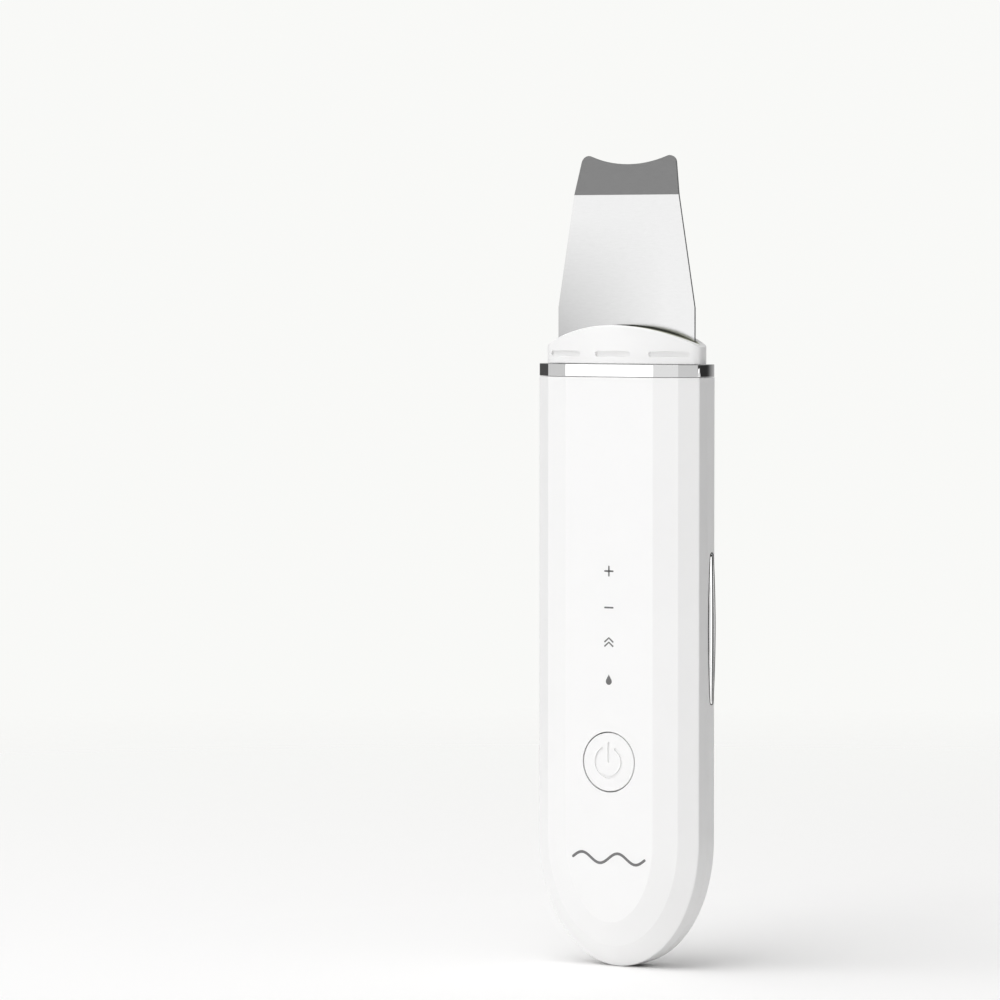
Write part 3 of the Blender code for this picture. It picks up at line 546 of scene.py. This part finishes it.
def soften_node(node, width, segments, limit):
    """Rounds a CAD node's edges that turn by more than limit degrees."""
    part = frame["nodes"][node]
    part.data.polygons.foreach_set("use_smooth", [True] * len(part.data.polygons))
    bevel = part.modifiers.new("rounded edges", "BEVEL")
    bevel.width = width
    bevel.segments = segments
    bevel.limit_method = "ANGLE"
    bevel.angle_limit = math.radians(limit)
    normals = part.modifiers.new("weighted normals", "WEIGHTED_NORMAL")
    normals.keep_sharp = True


def make_trim_band():
    """The chrome ring: the handle's facets, finely rounded edges, and an opening hidden by the head."""
    low, high = band_low.z, band_high.z
    corners = [(0.0, 0.0), *FACET_EDGES, (HALF_WIDTH, FLAT_DEPTH)]
    quarter = [(HALF_WIDTH - inset, depth) for inset, depth in
               rounded_corners(corners, BAND_ROUNDING, ROUNDING_STEPS)]
    rear = [*quarter[1:-1], *[(-x, y) for x, y in reversed(quarter[1:-1])]]
    ring = [(HALF_WIDTH, 0.0), *rear, (-HALF_WIDTH, 0.0), *[(x, -y) for x, y in reversed(rear)]]
    edge, middle = BAND_EDGE, BAND_EDGE_MIDDLE
    profile = [(edge, low), (middle, low + middle), (0, low + edge),
               (0, high - edge), (middle, high - middle), (edge, high)]
    opening = [[(x * BAND_OPENING[0], y * BAND_OPENING[1], z) for x, y in ring] for z in (high, low)]
    mesh = swept_ring("chrome_band", [*rings_inside(ring, profile), *opening])
    piece = new_piece("chrome_band", mesh, finishes["chrome"], "handle")
    smooth(piece, 40.0)
    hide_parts("trim_band")


def rings_inside(outline, profile):
    """The outline once for each (distance inwards, height): a height is a number or a rule of X."""
    count = len(outline)
    inwards = []
    for i in range(count):
        before, after = Vector(outline[i - 1]), Vector(outline[(i + 1) % count])
        here = Vector(outline[i])
        normals = [Vector((-run.y, run.x)).normalized() for run in (here - before, after - here)]
        middle = (normals[0] + normals[1]).normalized()
        inwards.append(middle / max(middle.dot(normals[0]), 0.3))
    rings = []
    for distance, height in profile:
        ring = []
        for (x, y), inward in zip(outline, inwards):
            z = height(x) if callable(height) else height
            ring.append((x + inward.x * distance, y + inward.y * distance, z))
        rings.append(ring)
    return rings


# ---------------------------------------------------------------- head

def arch(x):
    """Height of the head's arched top."""
    return collar_high.z - COLLAR_ARCH_RADIUS + math.sqrt(COLLAR_ARCH_RADIUS ** 2 - x ** 2)


def collar_front(x):
    """How far the head's plan reaches from the joint plane at this X."""
    return collar_high.y - COLLAR_PLAN_RADIUS + math.sqrt(COLLAR_PLAN_RADIUS ** 2 - x ** 2)


def collar_plan():
    """The head seen from above: two shallow arcs on flat sides, with rounded corners."""
    half_width = collar_high.x
    corner = Vector((half_width, collar_front(half_width)))
    inner_x = half_width - COLLAR_CORNER
    steps = [inner_x * (1 - 2 * step / COLLAR_STEPS) for step in range(COLLAR_STEPS + 1)]
    rear = [(x, collar_front(x)) for x in steps]
    rounded = []
    side_y = corner.y - COLLAR_CORNER
    start = Vector((half_width, side_y))
    end = Vector(rear[0])
    for step in range(COLLAR_CORNER_STEPS):
        t = step / COLLAR_CORNER_STEPS
        point = start * (1 - t) ** 2 + corner * (2 * t * (1 - t)) + end * t ** 2
        rounded.append(tuple(point))
    right = [(half_width, 0.0), *rounded]
    left = [(-x, y) for x, y in reversed(right)]
    upper = [*right, *rear, *left]
    return [*upper, *[(x, -y) for x, y in reversed(upper[1:-1])]]


def lens_front(x):
    """How far the opening in the head's rim reaches from the joint plane at this X."""
    share = min(abs(x) / LENS_HALF_LENGTH, 1.0)
    return (collar_front(x) - LENS_RIM) * (1 - share ** LENS_POWER)


def make_collar():
    """The head: an outer wall with a rounded rim, and an opening that narrows to a point at each end."""
    below = collar_low.z
    plan = collar_plan()
    quarter = [math.pi / 2 * step / COLLAR_RIM_STEPS for step in range(COLLAR_RIM_STEPS + 1)]
    profile = [(COLLAR_WALL, below), (COLLAR_FOOT, below), (0, below + COLLAR_FOOT)]
    profile += [(COLLAR_RIM * (1 - math.cos(a)),
                 lambda x, a=a: arch(x) - COLLAR_RIM * (1 - math.sin(a))) for a in quarter]
    rings = rings_inside(plan, profile)
    shrink = LENS_HALF_LENGTH / collar_high.x
    opening = [(x * shrink, math.copysign(lens_front(x * shrink), y)) for x, y in plan]
    rings.append([(x, y, arch(x) - COLLAR_RIM_FALL) for x, y in opening])
    rings.append([(x, y, seal_low.z + 0.2 * MM) for x, y in opening])
    piece = new_piece("collar_shell", swept_ring("collar_shell", rings), finishes["white_plastic"])
    for side in (FRONT, REAR):
        for column in (-1, 0, 1):
            cut(piece, groove(side, column * GROOVE_PITCH))
    smooth(piece, 35.0)
    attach(piece, "handle")
    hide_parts("head_collar")


def groove(side, middle):
    """A pill-shaped cutter whose mouth flares, square to the head's curved face at its middle."""
    slope = math.tan(math.asin(middle / COLLAR_PLAN_RADIUS))
    rings = []
    for depth, flare in ((-GROOVE_DEPTH, -0.06 * MM), (-GROOVE_DEPTH + 0.06 * MM, 0), (-0.12 * MM, 0),
                         (0.03 * MM, GROOVE_MOUTH), (PAST, GROOVE_MOUTH)):
        outline = capsule(GROOVE_LENGTH + 2 * flare, GROOVE_HEIGHT + 2 * flare, (middle, GROOVE_Z), 14)
        rings.append([(x, side * (collar_front(middle) + depth - slope * (x - middle)), z)
                      for x, z in outline])
    return loft("groove", rings)


def make_seal():
    """The rubber in the head: a lens that follows the arch, with a soft lip along the blade."""
    columns, rows = SEAL_COLUMNS, SEAL_ROWS
    half_length = LENS_HALF_LENGTH - SEAL_END_GAP
    lip_rise = seal_high.z - collar_high.z + SEAL_DROP
    bm = bmesh.new()
    top, bottom = [], []
    for i in range(columns + 1):
        x = half_length * (2 * i / columns - 1)
        reach = lens_front(x) + SEAL_OVERLAP
        along = max(0.0, 1 - (x / blade_high.x) ** 8)
        top_row, bottom_row = [], []
        for j in range(rows + 1):
            y = reach * (2 * j / rows - 1)
            near = max(0.0, 1 - (abs(y) / LIP_HALF_DEPTH) ** 2) * along
            top_row.append(bm.verts.new((x, y, arch(x) - SEAL_DROP + lip_rise * near)))
            bottom_row.append(bm.verts.new((x, y, seal_low.z + 0.3 * MM)))
        top.append(top_row)
        bottom.append(bottom_row)
    for sheet in (top, bottom):
        for i in range(columns):
            for j in range(rows):
                bm.faces.new((sheet[i][j], sheet[i + 1][j], sheet[i + 1][j + 1], sheet[i][j + 1]))
    rims = []
    for sheet in (top, bottom):
        rims.append([*[row[0] for row in sheet], *sheet[-1][1:], *[row[-1] for row in reversed(sheet[:-1])],
                     *reversed(sheet[0][1:-1])])
    for i in range(len(rims[0])):
        j = (i + 1) % len(rims[0])
        bm.faces.new((rims[0][i], rims[0][j], rims[1][j], rims[1][i]))
    piece = new_piece("seal_insert", mesh_from("seal_insert", bm), finishes["seal_rubber"])
    smooth(piece, 50.0)
    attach(piece, "handle")
    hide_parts("blade_seal")


# ---------------------------------------------------------------- button, contact bars and marks

def power_symbol():
    """A ring open at the top, and a stroke in the opening, as outlines in X and Z."""
    up = math.pi / 2
    ring = arc(0, BUTTON_Z, SYMBOL_RADIUS, up + SYMBOL_OPENING, up + 2 * math.pi - SYMBOL_OPENING, 64)
    low, high = (BUTTON_Z + offset for offset in SYMBOL_STROKE)
    return [stroke(ring, SYMBOL_LINE), stroke([(0, low), (0, (low + high) / 2), (0, high)], SYMBOL_LINE)]


def make_button():
    """The button's cap with its engraved symbol, and the flange that keeps it in the casing."""
    quarter = [math.pi / 2 * step / BUTTON_EDGE_STEPS for step in range(BUTTON_EDGE_STEPS + 1)]
    profile = [(BUTTON_RADIUS, -FLAT_DEPTH + BUTTON_THICKNESS)]
    profile += [(BUTTON_RADIUS - BUTTON_EDGE * (1 - math.cos(a)),
                 -FLAT_DEPTH + BUTTON_EDGE * (1 - math.sin(a))) for a in quarter]
    rings = [[(x, y, z) for x, z in arc(0, BUTTON_Z, radius, 0, 2 * math.pi, 128)[:-1]]
             for radius, y in profile]
    piece = new_piece("button_cap", loft("button_cap", rings), finishes["white_plastic"])
    engraving = plate("engraving", power_symbol(), -FLAT_DEPTH - PAST, -FLAT_DEPTH + SYMBOL_DEPTH)
    cut(piece, engraving)
    smooth(piece)
    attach(piece, "power_button")
    flange_front, flange_rear = (-FLAT_DEPTH + depth for depth in BUTTON_FLANGE)
    rings = [[(x, y, z) for x, z in arc(0, BUTTON_Z, radius, 0, 2 * math.pi, 96)[:-1]]
             for radius, y in ((button_high.x, flange_rear), (button_high.x, flange_front),
                               (BUTTON_RADIUS - 0.1 * MM, flange_front - 0.15 * MM))]
    flange = new_piece("button_flange", loft("button_flange", rings), finishes["grey_plastic"],
                       "power_button")
    smooth(flange)
    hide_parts("power_button")


def make_contact_bars():
    """Chrome bars in the two sides: a lens seen from the side, bowed outwards, with rolled edges."""
    middle_y, middle_z = (bar_low.y + bar_high.y) / 2, (bar_low.z + bar_high.z) / 2
    half_length = (bar_high.z - bar_low.z) / 2
    low_face = HALF_WIDTH + 0.1 * MM
    flange_top = HALF_WIDTH - BAR_FLANGE_DEPTH
    for name, direction, node in (("contact_bar_right", 1, "hand_electrode_right"),
                                  ("contact_bar_left", -1, "hand_electrode_left")):
        rings = [[(direction * x, y, z) for y, z in bar_outline(BAR_FLANGE_MARGIN)]
                 for x in (bar_low.x, flange_top)]
        for step in range(BAR_CROWN_STEPS):
            angle = math.pi / 2 * step / BAR_CROWN_STEPS
            shrink = math.cos(angle)
            ring = []
            for y, z in bar_outline(0, BAR_FLANGE):
                bow = 1 - ((z - middle_z) / half_length) ** 2
                crown = low_face + (bar_high.x - low_face) * bow - BAR_CROWN * (1 - math.sin(angle))
                inward = math.copysign(BAR_END_ROLL, middle_z - z) * (1 - shrink)
                ring.append((direction * max(crown, flange_top), middle_y + (y - middle_y) * shrink,
                             z + inward))
            rings.append(ring)
        piece = new_piece(name, loft(name, rings), finishes["chrome"], "handle")
        smooth(piece, 60.0)
        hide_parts(node)


def make_marks():
    """Four generic mode signs and a plain wave, printed on the front flat."""
    def printed(name, outlines):
        mesh = plate(name, outlines, -FLAT_DEPTH - PRINT_RISE, -FLAT_DEPTH + PRINT_SINK)
        new_piece(name, mesh, finishes["print_grey"], "handle")

    heights = [(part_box(f"mode_led_{number}")[0].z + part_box(f"mode_led_{number}")[1].z) / 2
               for number in (1, 2, 3, 4)]
    size = MARK_SIZE
    z = heights[0]
    printed("mode_mark_plus", [stroke([(-size, z), (0, z), (size, z)], MARK_LINE),
                               stroke([(0, z - size), (0, z), (0, z + size)], MARK_LINE)])
    z = heights[1]
    printed("mode_mark_minus", [stroke([(-size, z), (0, z), (size, z)], MARK_LINE)])
    z = heights[2]
    printed("mode_mark_lift", [stroke([(-size, z + lift - size / 2), (0, z + lift + size / 3),
                                       (size, z + lift - size / 2)], MARK_LINE)
                               for lift in (-0.45 * MM, 0.5 * MM)])
    z = heights[3]
    drop = arc(0, z - 0.3 * MM, 0.75 * MM, math.radians(150), math.radians(390), 24)
    printed("mode_mark_drop", [[*drop, (0, z + 1.2 * MM)]])
    wave = []
    for step in range(WAVE_STEPS + 1):
        share = step / WAVE_STEPS
        wave.append((WAVE_LENGTH * (share - 0.5), WAVE_Z + WAVE_RISE * math.sin(share * 4 * math.pi)))
    printed("wave_mark", [stroke(wave, WAVE_LINE)])


# ---------------------------------------------------------------- studio

def make_camera():
    data = bpy.data.cameras.new("camera")
    data.lens = CAMERA_LENS
    data.sensor_width = 36.0
    data.clip_start = 0.05
    data.clip_end = 50.0
    camera = bpy.data.objects.new("camera", data)
    bpy.context.scene.collection.objects.link(camera)
    back = Vector((math.sin(CAMERA_AZIMUTH), -math.cos(CAMERA_AZIMUTH), 0))
    right = Vector((math.cos(CAMERA_AZIMUTH), math.sin(CAMERA_AZIMUTH), 0))
    camera.location = back * CAMERA_DISTANCE + Vector((0, 0, CAMERA_HEIGHT))
    aim = right * AIM_SIDEWAYS + Vector((0, 0, AIM_HEIGHT))
    camera.rotation_euler = (aim - camera.location).to_track_quat("-Z", "Y").to_euler()
    bpy.context.scene.camera = camera


def make_world():
    """A light tent with its own tone in each direction, which the camera sees as plain pale paper."""
    world = bpy.data.worlds.new("light tent")
    bpy.context.scene.world = world
    world.use_nodes = True
    tree = world.node_tree
    tree.nodes.clear()

    def add(kind, inputs=(), **settings):
        return add_node(tree, kind, inputs, **settings)

    towards = add("ShaderNodeTexCoord").outputs["Generated"]
    parts = add("ShaderNodeSeparateXYZ", {0: towards})
    flipped = add("ShaderNodeMath", {0: parts.outputs["Y"], 1: -1.0}, operation="MULTIPLY")
    azimuth = add("ShaderNodeMath", {0: parts.outputs["X"], 1: flipped.outputs[0]}, operation="ARCTAN2")
    share = add("ShaderNodeMapRange", {"Value": azimuth.outputs[0], "From Min": -math.pi,
                                       "From Max": math.pi})
    tent = add("ShaderNodeValToRGB", {"Fac": share.outputs["Result"]})
    stops = tent.color_ramp.elements
    stops.remove(stops[1])
    strongest = max(strength for _, strength in TENT)
    for number, (degrees, strength) in enumerate(TENT):
        stop = stops[0] if number == 0 else stops.new(degrees / 360 + 0.5)
        stop.position = degrees / 360 + 0.5
        level = strength / strongest
        stop.color = (level, level, level, 1)
    shade = tent.outputs["Color"]
    rightwards = add("ShaderNodeMapRange", {"Value": parts.outputs["X"], "From Min": RIGHT_START,
                                            "From Max": RIGHT_END})
    for start, end, left, right in ZONES:
        tone = add("ShaderNodeMix", {0: rightwards.outputs["Result"],
                                     COLOUR_A: (left / strongest,) * 3 + (1,),
                                     COLOUR_B: (right / strongest,) * 3 + (1,)}, data_type="RGBA")
        inside = add("ShaderNodeMapRange", {"Value": parts.outputs["Z"], "From Min": start, "From Max": end})
        zone = add("ShaderNodeMix", {0: inside.outputs["Result"], COLOUR_A: shade,
                                     COLOUR_B: tone.outputs[COLOUR_OUT]}, data_type="RGBA")
        shade = zone.outputs[COLOUR_OUT]
    lit = add("ShaderNodeBackground", {"Color": shade, "Strength": strongest})
    paper = add("ShaderNodeBackground", {"Color": (PAPER, PAPER * 1.003, PAPER * 0.985, 1), "Strength": 1.0})
    seen = add("ShaderNodeLightPath").outputs["Is Camera Ray"]
    both = add("ShaderNodeMixShader", {0: seen, 1: lit.outputs[0], 2: paper.outputs[0]})
    add("ShaderNodeOutputWorld", {"Surface": both.outputs[0]})


def make_lamp(name, azimuth, elevation, distance, size, power, in_reflections):
    """A square softbox that faces the middle of the object."""
    data = bpy.data.lights.new(name, "AREA")
    data.size = size
    data.energy = power
    lamp = bpy.data.objects.new(name, data)
    bpy.context.scene.collection.objects.link(lamp)
    a, e = math.radians(azimuth), math.radians(elevation)
    out = Vector((math.sin(a) * math.cos(e), -math.cos(a) * math.cos(e), math.sin(e)))
    lamp.location = Vector((0, 0, LAMP_AIM_HEIGHT)) + out * distance
    lamp.rotation_euler = (-out).to_track_quat("-Z", "Y").to_euler()
    lamp.visible_glossy = in_reflections


def make_floor():
    """A round pale floor that fades into the backdrop."""
    bm = bmesh.new()
    bmesh.ops.create_circle(bm, cap_ends=True, segments=96, radius=FLOOR_RADIUS)
    mesh = bpy.data.meshes.new("floor")
    bm.to_mesh(mesh)
    bm.free()
    graph = Graph("floor_paper")
    grain = graph.noise(900.0)
    light, dark = grey(0.965, 0.004), grey(0.96, 0.004)
    graph.connect(graph.blend(graph.span(grain, 0.0, 1.0), light, dark), "Base Color")
    graph.shader.inputs["Roughness"].default_value = 0.9
    graph.shader.inputs["Specular IOR Level"].default_value = 0.0
    far = graph.add("ShaderNodeVectorMath", {0: graph.place}, operation="LENGTH").outputs["Value"]
    graph.connect(graph.span(far, 1.0, 0.0, *FLOOR_FADE), "Alpha")
    floor = new_piece("floor", mesh, graph.material)


make_camera()
make_world()
for lamp_values in LAMPS:
    make_lamp(*lamp_values)
make_floor()
bpy.context.scene.view_settings.view_transform = "Standard"

make_front_shell()
make_rear_shell()
make_trim_band()
make_collar()
make_seal()
soften_node("scraper_blade", 0.07 * MM, 2, 4.0)
make_button()
make_contact_bars()
make_marks()
for node, width in (("usb_socket_shell", 0.05 * MM), ("usb_socket_tongue", 0.04 * MM)):
    soften_node(node, width, 2, 40.0)
